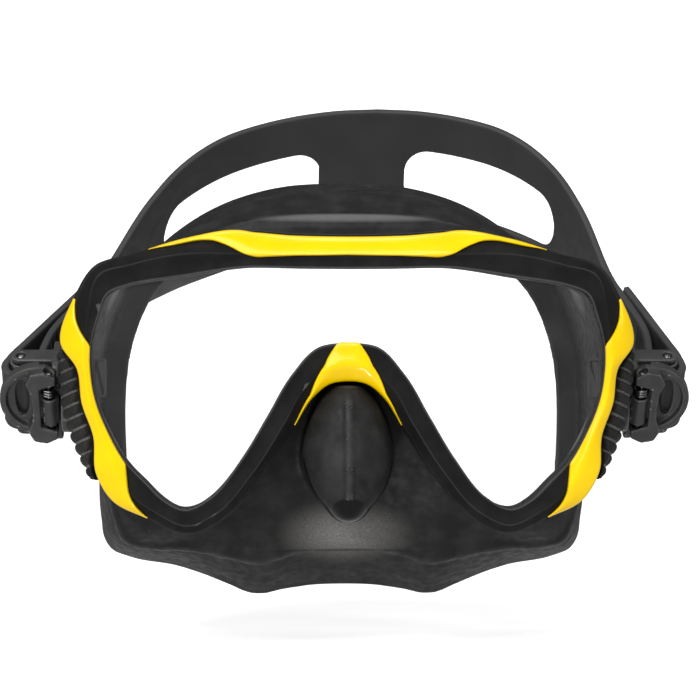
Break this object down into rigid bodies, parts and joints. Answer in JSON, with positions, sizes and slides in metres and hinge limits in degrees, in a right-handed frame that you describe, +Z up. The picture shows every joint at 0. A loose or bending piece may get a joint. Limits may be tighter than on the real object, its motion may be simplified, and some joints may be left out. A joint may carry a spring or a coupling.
{
  "type": "snorkel mask",
  "caption": "Single-lens snorkel mask with a silicone skirt and nose pocket, yellow frame trims, and a head strap on swivelling quick-release buckles.",
  "frame": {"origin": "middle of the face seal, where the mask rests on the wearer's face, at the height of the buckle axis", "axes": "+X across the mask to the wearer's left, +Y back towards the face and head, +Z up"},
  "size_m": [0.2036, 0.1587, 0.1559],
  "materials": {
    "soft_black": "soft-touch matt black",
    "silicone": "matt black silicone",
    "strap_silicone": "matt dark grey silicone",
    "yellow": "glossy yellow plastic",
    "glass": "clear tempered glass",
    "buckle_plastic": "satin grey-black plastic",
    "steel": "plain stainless steel"
  },
  "bodies": {
    "mask": {"front_frame": "soft_black", "lens": "glass", "retainer": "soft_black", "skirt": "silicone", "top_trim": "yellow", "right_side_trim": "yellow", "left_side_trim": "yellow", "nose_trim": "yellow", "right_grip": "soft_black", "right_lug": "buckle_plastic", "right_swivel_pin": "steel", "left_grip": "soft_black", "left_lug": "buckle_plastic", "left_swivel_pin": "steel"},
    "right_buckle": {"right_buckle_housing": "buckle_plastic", "right_roller_pin": "steel", "right_lever_pin": "steel", "right_lever_spring": "steel"},
    "right_roller": {"right_roller": "buckle_plastic"},
    "right_lever": {"right_release_lever": "buckle_plastic"},
    "left_buckle": {"left_buckle_housing": "buckle_plastic", "left_roller_pin": "steel", "left_lever_pin": "steel", "left_lever_spring": "steel"},
    "left_roller": {"left_roller": "buckle_plastic"},
    "left_lever": {"left_release_lever": "buckle_plastic"},
    "strap": {"strap": "strap_silicone"}
  },
  "joints": [
    {"name": "strap_swing", "type": "hinge", "parent": "mask", "child": "strap", "pos_m": [0, -0.031, 0], "axis": [1, 0, 0], "range_deg": [-45, 55]},
    {"name": "right_buckle_swivel", "type": "hinge", "parent": "mask", "child": "right_buckle", "pos_m": [0.085, -0.031, 0], "axis": [1, 0, 0], "range_deg": [-45, 55]},
    {"name": "right_roller_spin", "type": "hinge", "parent": "right_buckle", "child": "right_roller", "pos_m": [0.0958, -0.03264, -0.00115], "axis": [0, -0.5736, 0.8192], "continuous": true},
    {"name": "right_lever_lift", "type": "hinge", "parent": "right_buckle", "child": "right_lever", "pos_m": [0.087, -0.04382, -0.0047], "axis": [0, 0.5736, -0.8192], "range_deg": [0, 25], "stiffness_Nm_per_rad": 0.03, "springref_deg": -17.19},
    {"name": "left_buckle_swivel", "type": "hinge", "parent": "mask", "child": "left_buckle", "pos_m": [-0.085, -0.031, 0], "axis": [1, 0, 0], "range_deg": [-45, 55]},
    {"name": "left_roller_spin", "type": "hinge", "parent": "left_buckle", "child": "left_roller", "pos_m": [-0.0958, -0.03264, -0.00115], "axis": [0, -0.5736, 0.8192], "continuous": true},
    {"name": "left_lever_lift", "type": "hinge", "parent": "left_buckle", "child": "left_lever", "pos_m": [-0.087, -0.04382, -0.0047], "axis": [0, -0.5736, 0.8192], "range_deg": [0, 25], "stiffness_Nm_per_rad": 0.03, "springref_deg": -17.19}
  ],
  "couplings": [
    {"joint": "right_buckle_swivel", "follows": "strap_swing", "ratio": 1},
    {"joint": "left_buckle_swivel", "follows": "strap_swing", "ratio": 1}
  ]
}
